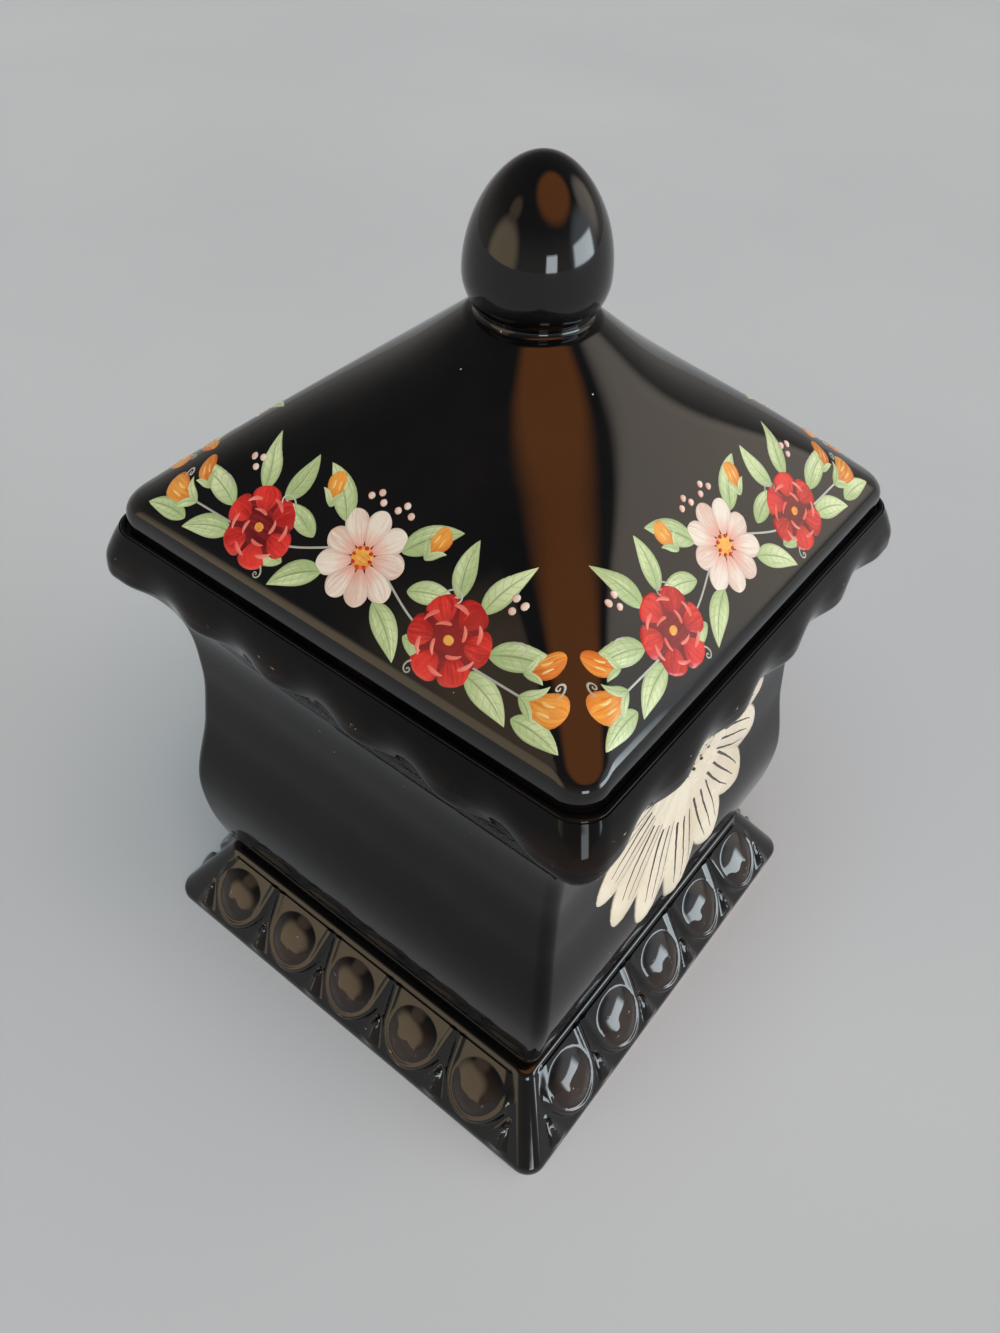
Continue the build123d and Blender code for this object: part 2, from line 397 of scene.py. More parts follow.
def black_glaze(name, breaking=0.0, bare_below=None, index=GLAZE_INDEX):
    """Glossy black glaze with a faint mottle, pinholes and slow waves; edges break brown, feet are bare."""
    material, tree, shader, place = new_material(name)
    mottle = noise(tree, place, MOTTLE_SCALE, 5.0, 0.6)
    colour = ramp(tree, mottle, [(0.35, GLAZE_DARK), (0.7, GLAZE_LIGHT)])
    film = noise(tree, place, FILM_SCALE, 4.0)
    gloss = remap(tree, film, 0.3, 0.75, 0.03, 0.085)
    pinholes = specks(tree, place, PINHOLE_SCALE, 0.045, 0.05)
    colour = mix(tree, pinholes, colour, PINHOLE_COLOUR)
    if breaking:
        wear = node(tree, "Attribute", {"attribute_name": "wear"}).outputs["Fac"]
        exposed = remap(tree, wear, 0.35, 1.0, 0.0, breaking)
        thin = math_node(tree, "MULTIPLY", exposed, remap(tree, mottle, 0.3, 0.6, 0.3, 1.0))
        colour = mix(tree, thin, colour, THIN_GLAZE_COLOUR)
        stretched = node(tree, "Mapping", Vector=place, Scale=SCRATCH_STRETCH).outputs[0]
        scratch = noise(tree, stretched, SCRATCH_SCALE, 3.0, 0.7)
        rubbed = remap(tree, wear, 0.6, 0.9, 0.0, 0.8)
        scuff = math_node(tree, "MULTIPLY", math_node(tree, "GREATER_THAN", scratch, 0.69), rubbed)
        colour = mix(tree, scuff, colour, SCUFF_COLOUR)
        gloss = math_node(tree, "MULTIPLY_ADD", scuff, 0.4, gloss)
    if bare_below is not None:
        height = node(tree, "SeparateXYZ", Vector=place).outputs["Z"]
        ragged = math_node(tree, "MULTIPLY_ADD", mottle, 0.0005, height)
        bare = math_node(tree, "LESS_THAN", ragged, bare_below)
        biscuit = ramp(tree, film, [(0.3, BISCUIT_DARK), (0.7, BISCUIT_LIGHT)])
        colour = mix(tree, bare, colour, biscuit)
        gloss = math_node(tree, "MULTIPLY_ADD", bare, 0.75, gloss)
    dress(tree, shader, colour, gloss, noise(tree, place, WAVE_SCALE, 2.0), 0.10, 0.0012)
    shader.inputs["IOR"].default_value = index
    return material


def enamel(name, dark, light, edge, root, veined=False):
    """Brushed enamel: streaks along each stroke, another shade at its root, thin dark edges."""
    material, tree, shader, _ = new_material(name)
    mark, along, across, seed = stroke_place(tree)
    spread = node(tree, "Mapping", Vector=mark, Scale=(1.6, 5.0, 61.0)).outputs["Vector"]
    streak = noise(tree, spread, 1.0, 4.0, 0.65)
    level = math_node(tree, "ADD", streak, math_node(tree, "MULTIPLY_ADD", seed, 0.30, -0.15))
    level = math_node(tree, "MULTIPLY_ADD", across, 0.10, level)
    brushed = ramp(tree, level, [(0.34, dark), (0.60, light)])
    rooted = remap(tree, math_node(tree, "MULTIPLY_ADD", streak, 0.35, along), 0.22, 0.72, 0.85, 0.0)
    colour = mix(tree, rooted, brushed, (*root, 1.0))
    off_middle = math_node(tree, "ABSOLUTE", across)
    thin = remap(tree, off_middle, 0.72, 1.02, 0.0, 0.6)
    if veined:
        slanted = math_node(tree, "MULTIPLY_ADD", off_middle, -0.16, along)
        side_veins = remap(tree, math_node(tree, "PINGPONG", slanted, 0.075), 0.005, 0.018, 0.3, 0.0)
        rib = remap(tree, off_middle, 0.04, 0.10, 0.7, 0.0)
        thin = math_node(tree, "MAXIMUM", thin, math_node(tree, "MAXIMUM", rib, side_veins))
    colour = mix(tree, thin, colour, (*edge, 1.0))
    dress(tree, shader, colour, remap(tree, streak, 0.3, 0.7, 0.16, 0.30), streak, 0.18, 0.0002)
    return material


def cream_slip(name, lined=True):
    """Cream slip with faint stains and a dark outline, and with dark brush lines along each petal."""
    material, tree, shader, place = new_material(name)
    _, along, across, _ = stroke_place(tree)
    wobble = noise(tree, place, 160.0)
    stain = noise(tree, place, 45.0, 4.0)
    ground = ramp(tree, stain, [(0.3, SLIP_DARK), (0.6, SLIP_LIGHT)])
    middle = math_node(tree, "ABSOLUTE", across)
    inked = remap(tree, middle, 0.86, 0.97, 0.0, 1.0)
    if lined:
        wavered = math_node(tree, "ADD", across, math_node(tree, "MULTIPLY_ADD", wobble, 0.10, -0.05))
        lines = math_node(tree, "PINGPONG", wavered, 0.21)
        thick = remap(tree, along, 0.45, 0.88, 0.055, 0.012)
        drawn = math_node(tree, "LESS_THAN", lines, thick)
        limits = (
            math_node(tree, "GREATER_THAN", along, 0.42),
            math_node(tree, "LESS_THAN", along, 0.84),
            math_node(tree, "LESS_THAN", middle, 0.72),
        )
        for limit in limits:
            drawn = math_node(tree, "MULTIPLY", drawn, limit)
        inked = math_node(tree, "MAXIMUM", drawn, inked)
    colour = mix(tree, inked, ground, SLIP_INK)
    dress(tree, shader, colour, remap(tree, stain, 0.3, 0.7, 0.18, 0.34), wobble, 0.2, 0.0003)
    return material


glaze = black_glaze("black_glaze")


# Plinth with its carved frieze
slope_start = np.array([plinth_high.x, FOOT_HEIGHT])
slope_end = np.array([PLINTH_TOP_HALF, plinth_high.z])
slope_length = np.linalg.norm(slope_end - slope_start)
slope_normal = np.array([slope_end[1] - slope_start[1], slope_start[0] - slope_end[0]]) / slope_length


def frieze_relief(along, up):
    """Height of the carving at a place along a side and up its slope from the middle."""
    offset = along - FRIEZE_PITCH * np.clip(np.round(along / FRIEZE_PITCH), -(EGGS // 2), EGGS // 2)
    rise = up - EGG_LIFT
    drop = -rise / SHELL_HALF_HEIGHT
    girth = SHELL_HALF_WIDTH * (1 - SHELL_TAPER_SHARE * np.clip(drop, -1, 1))
    cup = np.hypot(offset / girth, np.maximum(drop, 0))
    shell = (SHELL_BASE + SHELL_LEAN * np.clip((drop + 1) / 2, 0, 1)) * ease(*SHELL_EDGE_SHARES, cup)
    shell = shell + SHELL_RIDGE * np.exp(-(((cup - SHELL_RIDGE_SHARE) / SHELL_RIDGE_WIDTH_SHARE) ** 2))
    reach = np.hypot(offset / girth, drop)
    egg = EGG_RELIEF * np.clip(1 - (reach / EGG_SHARE) ** 2, 0, 1)
    for bead_along, bead_up in BEADS:
        apart = ((offset - bead_along) ** 2 + (rise - bead_up) ** 2) / BEAD_RADIUS**2
        egg = egg + BEAD_RELIEF * np.exp(-2 * apart)
    beside = along - FRIEZE_PITCH * (np.round(along / FRIEZE_PITCH - 0.5) + 0.5)
    dart_low = -slope_length / 2
    dart_share = np.clip(1 - (up - dart_low) / (slope_length * DART_TOP_SHARE), 0, 1)
    dart = DART_RELIEF * np.clip(1 - np.abs(beside) / (DART_HALF_WIDTH * dart_share + LEAST_WIDTH), 0, 1)
    first, second = (np.sin(wave * along + climb * up) for wave, climb in HAND_WAVES)
    hand = 1 + HAND_SHARE * first * second
    margin = slope_length / 2 - np.abs(up)
    return np.maximum(shell + egg, dart) * hand * ease(0, FRIEZE_MARGIN, margin)


def carved_ring(share):
    """The ring at a share of the way up the slope, with the frieze raised on its flats, and its relief."""
    half, height = slope_start + (slope_end - slope_start) * share
    corner = PLINTH_CORNER + (PLINTH_TOP_CORNER - PLINTH_CORNER) * share
    points = ring(half, height, corner, side_steps=FRIEZE_SIDE_STEPS)
    per_quarter = len(points) // 4
    along = points[: FRIEZE_SIDE_STEPS + 1, 0]
    relief = frieze_relief(along, (share - 0.5) * slope_length)
    relief = relief * ease(0, 2 * FRIEZE_MARGIN, half - corner - np.abs(along))
    raised = np.zeros(len(points))
    for quarter in range(4):
        turn = quarter * math.pi / 2
        outward = (math.sin(turn) * slope_normal[0], -math.cos(turn) * slope_normal[0], slope_normal[1])
        side = slice(quarter * per_quarter, quarter * per_quarter + FRIEZE_SIDE_STEPS + 1)
        points[side] += relief[:, None] * np.array(outward)
        raised[side] = relief
    points[:, :2] = np.clip(points[:, :2], -plinth_high.x, plinth_high.x)
    return points, raised


def plinth_rings():
    """Rings round the plinth's section, from the foot up the slope, over the ledge and down, with reliefs."""
    foot = plinth_high.x
    top = plinth_high.z
    start = soften(
        [
            (foot - FOOT_INSET, 0, PLINTH_CORNER, 0),
            (foot, 0, PLINTH_CORNER, FOOT_SOFT),
            (foot, FOOT_HEIGHT * FOOT_TOP_SHARE, PLINTH_CORNER, 0),
        ]
    )
    inside = soften(
        [
            (*(slope_start + (slope_end - slope_start) * SLOPE_TOP_SHARE), PLINTH_TOP_CORNER, 0),
            (*slope_end, PLINTH_TOP_CORNER, LEDGE_SOFT),
            (LEDGE_OPENING_HALF, top, BODY_CORNER, LEDGE_INNER_SOFT),
            (LEDGE_OPENING_HALF, top - PLINTH_WALL, BODY_CORNER, LEDGE_INNER_SOFT),
            (PLINTH_TOP_HALF - PLINTH_WALL, top - PLINTH_WALL, PLINTH_TOP_CORNER, PLINTH_HOLLOW_SOFT),
            (foot - PLINTH_WALL, FOOT_HEIGHT, PLINTH_CORNER, PLINTH_HOLLOW_SOFT),
            (foot - PLINTH_WALL, 0, PLINTH_CORNER, FOOT_SOFT),
        ]
    )
    carved = [carved_ring(share) for share in np.linspace(*CARVED_SHARES, SLOPE_STEPS)]
    plain = [[ring(*level, side_steps=FRIEZE_SIDE_STEPS) for level in part] for part in (start, inside)]
    rings = plain[0] + [points for points, _ in carved] + plain[1]
    level = np.zeros(len(rings[0]))
    reliefs = [level] * len(plain[0]) + [raised for _, raised in carved] + [level] * len(plain[1])
    return rings, np.concatenate(reliefs)


carved_rings, reliefs = plinth_rings()
plinth_glaze = black_glaze("plinth_glaze", breaking=0.5, bare_below=BARE_FOOT)
plinth = mesh_piece("plinth_carved", *skin(carved_rings, loop=True), plinth_glaze, "jar")
add_wear(plinth, reliefs / (SHELL_BASE + SHELL_LEAN / 2 + EGG_RELIEF))
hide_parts("plinth", "plinth_shells", "plinth_eggs", "plinth_darts")


# Jar body
def body_half(height):
    """The body's half width over the flats at a height."""
    knots = [body_low.z + share * (body_high.z - body_low.z) for share in BODY_RISE_SHARES]
    return smooth_through(height, knots, BODY_HALVES)


def body_rings():
    """Rings from the middle of the base, up the outside, over the top and down to the middle of the floor."""
    heights = np.linspace(body_low.z, body_high.z, BODY_STEPS)
    floor = body_low.z + BODY_FLOOR
    inner_heights = np.linspace(body_high.z, floor, BODY_STEPS)
    inner_corner = BODY_CORNER - BODY_CORNER_INSET
    profile = [(MIDDLE_HALF, body_low.z, BODY_CORNER)]
    profile += [(body_half(height), height, BODY_CORNER) for height in heights]
    profile += [(body_half(height) - BODY_WALL, height, inner_corner) for height in inner_heights]
    profile += [(MIDDLE_HALF, floor, inner_corner)]
    return [ring(*level) for level in profile]


body_glaze = black_glaze("body_glaze", index=THIN_GLAZE_INDEX)
body = mesh_piece("jar_body_glazed", *skin(body_rings()), body_glaze, "jar")
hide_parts("jar_body")


# Rim
def scallop_dips(along, half, corner):
    """How far in the scalloped edge lies along one side, as a share of its depth."""
    span = half - corner - RIM_CORNER_LAND
    pitch = 2 * span / SCALLOPS
    dips = (1 - np.cos(2 * math.pi * (along + span) / pitch)) / 2
    return np.where(np.abs(along) < span, dips, 0)


def scalloped_ring(half, height, corner, scallop):
    """A ring whose sides run in and out with the scallops, and 1 on its crests falling to 0 in its dips."""
    points = ring(half, height, corner)
    crests = np.ones(len(points))
    per_quarter = len(points) // 4
    for quarter in range(4):
        turn = quarter * math.pi / 2
        inward = np.array([-math.sin(turn), math.cos(turn)])
        along_axis = np.array([math.cos(turn), math.sin(turn)])
        side = slice(quarter * per_quarter, quarter * per_quarter + SIDE_STEPS + 1)
        dips = scallop_dips(points[side, :2] @ along_axis, half, corner)
        points[side, :2] += (dips * scallop * SCALLOP_DEPTH)[:, None] * inward
        crests[side] = 1 - dips
    return points, crests


def rim_rings():
    """Rings up the scalloped outside, over the top, across the gallery and down the cove, with wear."""
    low, high = rim_low.z, rim_high.z
    starts = (body_high.x, body_high.x, RIM_TOP_HALF, RIM_TOP_HALF, RIM_TOP_HALF)
    halves = [start + (rim_high.x - start) * reach for start, reach in zip(starts, RIM_REACH_SHARES)]
    outside = []
    wear = []
    for rise in np.linspace(0, RIM_OUTSIDE_SHARE, RIM_STEPS):
        half = smooth_through(rise, RIM_RISE_SHARES, halves)
        scallop = smooth_through(rise, RIM_RISE_SHARES, RIM_SCALLOP_SHARES)
        corner = BODY_CORNER + (RIM_CORNER - BODY_CORNER) * ease(0, RIM_CORNER_SHARE, rise)
        points, crests = scalloped_ring(half, low + rise * (high - low), corner, scallop)
        outside.append(points)
        wear.append(crests * math.exp(-(((rise - RIM_WEAR_SHARE) / RIM_WEAR_SPREAD_SHARE) ** 2)))
    gallery = high - GALLERY_DEPTH
    inside = soften(
        [
            (RIM_TOP_HALF, high - LIP_DROP, RIM_CORNER, 0),
            (RIM_TOP_HALF - LIP_INSET, high, RIM_CORNER, LIP_SOFT),
            (RECESS_HALF, high, RECESS_CORNER, LIP_SOFT),
            (RECESS_HALF, gallery, RECESS_CORNER, LIP_SOFT),
            (MOUTH_HALF, gallery, MOUTH_CORNER, MOUTH_SOFT),
            (MOUTH_HALF, low + COVE_HEIGHT, MOUTH_CORNER, COVE_SOFT),
            (body_high.x - BODY_WALL, low, BODY_CORNER, 0),
        ]
    )
    bottom = ring(body_high.x - RIM_FOOT_INSET, low, BODY_CORNER)
    plain = np.zeros(len(bottom))
    rings = [bottom] + outside + [ring(*level) for level in inside]
    return rings, np.concatenate([plain] + wear + [plain] * len(inside))


scalloped_rings, rim_wear = rim_rings()
rim_glaze = black_glaze("rim_glaze", breaking=0.15, index=THIN_GLAZE_INDEX)
rim = mesh_piece("scalloped_rim_glazed", *skin(scalloped_rings, loop=True), rim_glaze, "jar")
add_wear(rim, rim_wear)
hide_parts("scalloped_rim")


# Lid
eave = np.array([lid_high.x, lid_low.z + LID_EDGE])
roof_top = np.array([LID_TOP_HALF, lid_high.z])
roof_length = np.linalg.norm(roof_top - eave)
roof_normal = np.array([roof_top[1] - eave[1], eave[0] - roof_top[0]]) / roof_length


def roof_line(share):
    """Half width, height and hip radius at a share of the way up the roof's gently rounded slope."""
    swell = LID_BULGE * 4 * share * (1 - share)
    half = eave[0] + (roof_top[0] - eave[0]) * share + roof_normal[0] * swell
    height = eave[1] + (roof_top[1] - eave[1]) * share + roof_normal[1] * swell
    return half, height, half * smooth_through(share, HIP_RISE_SHARES, HIP_ROUND_SHARES)


def lid_rings():
    """Rings from the hollow's crown down the underside, across the seat, up the edge and the roof."""
    low = lid_low.z
    opening = flange_high.x - FLANGE_WALL
    seat = low + LID_SEAT
    hollow = []
    for share in np.linspace(1, 0, ROOF_STEPS // 2):
        half, height, corner = roof_line(share)
        if height - LID_ROOF > seat:
            hollow.append((half, height - LID_ROOF, corner, 0))
    inside = [
        (hollow[-1][0] + HOLLOW_STEP, seat, LID_CORNER, HOLLOW_SOFT),
        (opening, seat, OPENING_CORNER, HOLLOW_SOFT),
        (opening, low, OPENING_CORNER, HOLLOW_SOFT),
        (lid_high.x, low, LID_CORNER, SEAT_SOFT),
        (*eave, LID_CORNER, EAVE_SOFT),
    ]
    slope = [(*roof_line(share), 0) for share in np.linspace(ROOF_START_SHARE, 1, ROOF_STEPS)]
    return [ring(*level) for level in soften(hollow + inside + slope)]


lid = mesh_piece("lid_glazed", *skin(lid_rings()), glaze, "lid")
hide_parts("lid_shell")


# Flange
def flange_rings():
    """Rings round the collar's section."""
    outer, low, high = flange_high.x, flange_low.z, flange_high.z
    inner = outer - FLANGE_WALL
    section = [
        (inner, low, FLANGE_INNER_CORNER, FLANGE_INNER_SOFT),
        (outer, low, FLANGE_CORNER, FLANGE_OUTER_SOFT),
        (outer, high, FLANGE_CORNER, FLANGE_TOP_SOFT),
        (inner, high, FLANGE_INNER_CORNER, FLANGE_TOP_SOFT),
    ]
    return [ring(*level) for level in soften(section)]


collar_glaze = black_glaze("collar_glaze", bare_below=flange_low.z + BARE_COLLAR)
flange = mesh_piece("lid_collar", *skin(flange_rings(), loop=True), collar_glaze, "lid")
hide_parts("lid_flange")


# Finial
def finial_profile():
    """Radius and height up the fillet and the egg: an ellipse below the girth and a slimmer one above it."""
    low, high = finial_low.z, finial_high.z
    girth = low + GIRTH_RISE
    radius = finial_high.x
    waist_turn = -math.asin((GIRTH_RISE - FILLET_RISE) / EGG_FOOT_REACH)
    below = [
        (radius * math.cos(turn), girth + EGG_FOOT_REACH * math.sin(turn))
        for turn in np.linspace(waist_turn, 0, EGG_FOOT_STEPS)
    ]
    above = [
        (
            radius * math.cos(turn) * (1 - EGG_TAPER_SHARE * math.sin(turn) ** 2),
            girth + (high - girth) * math.sin(turn),
        )
        for turn in np.linspace(0, math.pi / 2 - EGG_TIP_ANGLE, EGG_STEPS)[1:]
    ]
    spread = np.array([LID_TOP_HALF + FILLET_REACH, low - FILLET_DROP])
    fillet = bezier(spread, np.array([below[0][0], low]), np.array(below[0]), FILLET_STEPS)
    return list(fillet[:-1]) + below + above


def finial_rings():
    """Circles up the egg."""
    turns = np.linspace(0, 2 * math.pi, EGG_TURNS, endpoint=False)
    circle = np.column_stack([np.cos(turns), np.sin(turns)])
    return [
        np.column_stack([circle * radius, np.full(EGG_TURNS, height)])
        for radius, height in finial_profile()
    ]


finial = mesh_piece("egg_finial", *skin(finial_rings()), glaze, "lid")
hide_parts("finial")


# Painted strokes
class Paint:
    """Strokes of one colour: closed patches, domed by a power of their width, gathered into one mesh."""

    def __init__(self, fullness=4):
        self.fullness = fullness
        self.vertices = []
        self.faces = []
        self.marks = []

    def ribbon(self, surface, line, widths, lift):
        """A patch along a line of (across, up) points on a surface, with a width at each point."""
        line = np.asarray(line, float)
        widths = np.maximum(widths, STROKE_LEAST_SHARE * np.max(widths))
        heading = np.gradient(line, axis=0)
        heading /= np.linalg.norm(heading, axis=1)[:, None]
        sideways = np.column_stack([-heading[:, 1], heading[:, 0]])
        across = np.sin(np.linspace(math.pi / 2, -math.pi / 2, STROKE_COLUMNS))
        spread = across[None, :, None] * widths[:, None, None] / 2
        grid = line[:, None, :] + sideways[:, None, :] * spread
        crown = np.minimum(1, STROKE_CROWN * widths / np.max(widths))
        dome = lift * (1 - np.abs(across) ** self.fullness)[None, :] * crown[:, None]
        top = surface(grid[..., 0], grid[..., 1], dome)
        under = surface(grid[..., 0], grid[..., 1], np.full_like(dome, -STROKE_SINK))[:, ::-1]
        vertices, faces = skin(list(np.concatenate([top, under], axis=1)))
        start = sum(len(part) for part in self.vertices)
        self.faces.extend([[start + index for index in face] for face in faces])
        self.vertices.append(vertices)
        seed = (len(self.vertices) * GOLDEN_SHARE) % 1
        sides = np.concatenate([across, across[::-1]])
        steps = np.linalg.norm(np.diff(line, axis=0), axis=1)
        along = np.concatenate([[0], np.cumsum(steps)]) / np.sum(steps)
        marks = np.stack(np.broadcast_arrays(along[:, None], sides[None, :], seed), axis=-1)
        self.marks.append(marks.reshape(-1, 3))

    def stroke(self, surface, start, angle, length, width, outline, lift=PAINT_LIFT, bend=0.0):
        """One brush stroke from a start point at an angle in degrees, bowed by a share of its length."""
        share = (1 - np.cos(np.linspace(0, math.pi, STROKE_STEPS))) / 2
        bow = bend * length * 4 * share * (1 - share)
        line = np.asarray(start) + np.outer(share * length, heading_of(angle))
        line = line + np.outer(bow, heading_of(angle + 90))
        self.ribbon(surface, line, width * outline(share), lift)

    def dot(self, surface, middle, size, lift=PAINT_LIFT):
        """A round dab."""
        self.stroke(surface, (middle[0] - size / 2, middle[1]), 0, size, size, round_outline, lift)

    def piece(self, name, material, body_name):
        """The gathered strokes as one piece, with each vertex's place in its stroke as an attribute."""
        made = mesh_piece(name, np.vstack(self.vertices), self.faces, material, body_name)
        attribute = made.data.attributes.new("stroke", "FLOAT_VECTOR", "POINT")
        attribute.data.foreach_set("vector", np.vstack(self.marks).astype(np.float32).ravel())
        return made


def heading_of(angle):
    """The (across, up) direction at an angle in degrees."""
    return np.array([math.cos(math.radians(angle)), math.sin(math.radians(angle))])


# Outlines of the strokes: where they are widest, as a power, and how full they are
LEAF_LEAN, LEAF_FULLNESS = 0.75, 0.85
PETAL_LEAN, PETAL_FULLNESS = 1.7, 0.5
COMMA_LEAN, COMMA_FULLNESS = 0.55, 0.8
PETAL_TIP_SHARE = 0.999


def leaf_outline(share):
    """Widest before the middle and pointed at both ends."""
    return np.sin(math.pi * share**LEAF_LEAN) ** LEAF_FULLNESS


def petal_outline(share):
    """Widest beyond the middle, with a round tip."""
    return np.sin(math.pi * np.clip(share, 0, PETAL_TIP_SHARE) ** PETAL_LEAN) ** PETAL_FULLNESS


def round_outline(share):
    """A circle."""
    return np.sqrt(np.clip(1 - (2 * share - 1) ** 2, 0, 1))


def comma_outline(share):
    """Widest near the start and drawn out to a point."""
    return np.sin(math.pi * share**COMMA_LEAN) ** COMMA_FULLNESS


# Garland round the lid, on one half of a side: (across, up, angle, length)
GARLAND_LEAVES = (
    (0.0080, 0.0125, -38, 0.0150),
    (0.0085, 0.0255, 42, 0.0155),
    (0.0145, 0.0185, 14, 0.0130),
    (0.0270, 0.0230, 102, 0.0135),
    (0.0335, 0.0225, 66, 0.0140),
    (0.0365, 0.0095, -20, 0.0150),
    (0.0395, 0.0155, 16, 0.0155),
    (0.0190, 0.0095, -14, 0.0120),
    (0.0510, 0.0065, -6, 0.0130),
)
GARLAND_BUDS = (
    (0.0500, 0.0115, 2, 0.0115),
    (0.0485, 0.0160, 38, 0.0085),
    (0.0145, 0.0265, 78, 0.0090),
)
GARLAND_TENDRILS = (
    (0.0225, 0.0215, 66, 0.0052, -1),
    (0.0425, 0.0190, 62, 0.0046, -1),
    (0.0245, 0.0065, -150, 0.0034, 1),
    (0.0570, 0.0135, 40, 0.0034, 1),
)
GARLAND_PEARLS = (
    (0.0392, 0.0262),
    (0.0412, 0.0282),
    (0.0386, 0.0290),
    (0.0060, 0.0335),
    (0.0038, 0.0352),
    (0.0022, 0.0333),
)
VINE_LOW = 0.0115
VINE_RISE = 0.0095
VINE_SPAN = 0.016
VINE_END = 0.052
VINE_WIDTH = 0.00055
VINE_STEPS = 60
DAISY_PLACE = (0.0, 0.0200)
DAISY_RADIUS = 0.0118
DAISY_PETALS = 9
DAISY_DOTS = 8
ROSETTE_PLACE = (0.0295, 0.0140)
ROSETTE_RADIUS = 0.0105
ROSETTE_TURN = 12
ROSETTE_PETALS = 6
# Rings of comma strokes: count, place and length as shares of the radius, lift as a share of the paint's
ROSETTE_COMMAS = ((6, 0.66, 0.50, 2.1), (4, 0.32, 0.44, 2.3))
LEAF_WIDTH_SHARE = 0.42
LEAF_BEND = 0.07
PEARL_SIZE = 0.0018
TENDRIL_STEPS = 40
TENDRIL_TURNS = 1.35
TENDRIL_WIDTH = 0.0005
TENDRIL_THINNING = 0.0002
# Lifts of the strokes that lie over or under others
VINE_LIFT = 0.5 * PAINT_LIFT
DISC_LIFT = 1.3 * PAINT_LIFT
BUD_LIFT = 1.5 * PAINT_LIFT
DAISY_EYE_LIFT = 1.6 * PAINT_LIFT
ROSETTE_LIFT = 1.7 * PAINT_LIFT
CUP_LIFT = 1.8 * PAINT_LIFT
DOT_LIFT = 2.0 * PAINT_LIFT
ROSETTE_EYE_LIFT = 2.5 * PAINT_LIFT


def roof_side(quarter):
    """The surface of one side of the roof: (along the eave, up the slope, lift) to a point in space."""
    turn = quarter * math.pi / 2
    spin = np.array([[math.cos(turn), math.sin(turn)], [-math.sin(turn), math.cos(turn)]])

    def surface(across, up, lift):
        half, height, corner = roof_line(up / roof_length)
        flat = half - corner
        lean = np.clip((np.abs(across) - flat) / corner, 0, math.pi / 4)
        outward = np.stack([np.sign(across) * np.sin(lean), -np.cos(lean)], axis=-1)
        on_flat = np.stack([np.clip(across, -flat, flat), -flat], axis=-1)
        plan = on_flat + outward * (corner + lift * roof_normal[0])[..., None]
        return np.concatenate([plan @ spin, (height + lift * roof_normal[1])[..., None]], axis=-1)

    return surface


def paint_daisy(pots, surface, middle, radius):
    """Cream petals round a domed eye with a ring of dark dots."""
    for index in range(DAISY_PETALS):
        angle = 90 + index * 360 / DAISY_PETALS
        start = middle + heading_of(angle) * radius * 0.16
        reach = radius * (0.84 + 0.05 * math.sin(index * 2.4))
        pots["petals"].stroke(surface, start, angle, reach, radius * 0.54, petal_outline, bend=0.03)
    pots["eyes"].dot(surface, middle, radius * 0.50, DAISY_EYE_LIFT)
    for index in range(DAISY_DOTS):
        spot = middle + heading_of(index * 360 / DAISY_DOTS) * radius * 0.20
        pots["reds"].dot(surface, spot, radius * 0.10, DOT_LIFT)


def paint_rosette(pots, surface, middle, radius, turn):
    """Round petals over a dark disc, with lighter comma strokes wound towards the middle."""
    pots["wines"].dot(surface, middle, radius * 1.7, DISC_LIFT)
    step = 360 / ROSETTE_PETALS
    for index in range(ROSETTE_PETALS):
        angle = turn + index * step
        start = middle + heading_of(angle) * radius * 0.22
        pots["reds"].stroke(surface, start, angle, radius * 0.78, radius * 0.80, petal_outline, ROSETTE_LIFT)
    for count, share, size, lift in ROSETTE_COMMAS:
        length = radius * size
        for index in range(count):
            angle = turn + step / 2 + index * 360 / count
            start = middle + heading_of(angle - 24) * radius * share
            pots["roses"].stroke(
                surface, start, angle + 78, length, length * 0.26, comma_outline, lift * PAINT_LIFT, -0.15
            )
    pots["eyes"].dot(surface, middle, radius * 0.26, ROSETTE_EYE_LIFT)


def paint_bud(pots, surface, start, angle, length):
    """An orange teardrop in a cup of two small leaves, with pale licks of light."""
    pots["buds"].stroke(surface, start, angle, length, length * 0.62, petal_outline, BUD_LIFT)
    for side in (-1, 1):
        cup = angle + side * 40
        pots["leaves"].stroke(
            surface, start, cup, length * 0.60, length * 0.24, leaf_outline, CUP_LIFT, -side * 0.12
        )
        light = start + heading_of(angle) * length * 0.46 + heading_of(angle + 90) * side * length * 0.11
        pots["lights"].stroke(
            surface, light, angle, length * 0.34, length * 0.08, comma_outline, DOT_LIFT, -side * 0.08
        )


def paint_tendril(pots, surface, start, angle, size, curl):
    """A fine line that winds up into a curl."""
    share = np.linspace(0, 1, TENDRIL_STEPS)
    turn = math.radians(angle) + curl * 2 * math.pi * TENDRIL_TURNS * share**1.5
    step = size * (1.25 - share) / 14
    line = start + np.cumsum(np.column_stack([np.cos(turn), np.sin(turn)]) * step[:, None], axis=0)
    pots["tendrils"].ribbon(surface, line, TENDRIL_WIDTH - TENDRIL_THINNING * share, PAINT_LIFT)


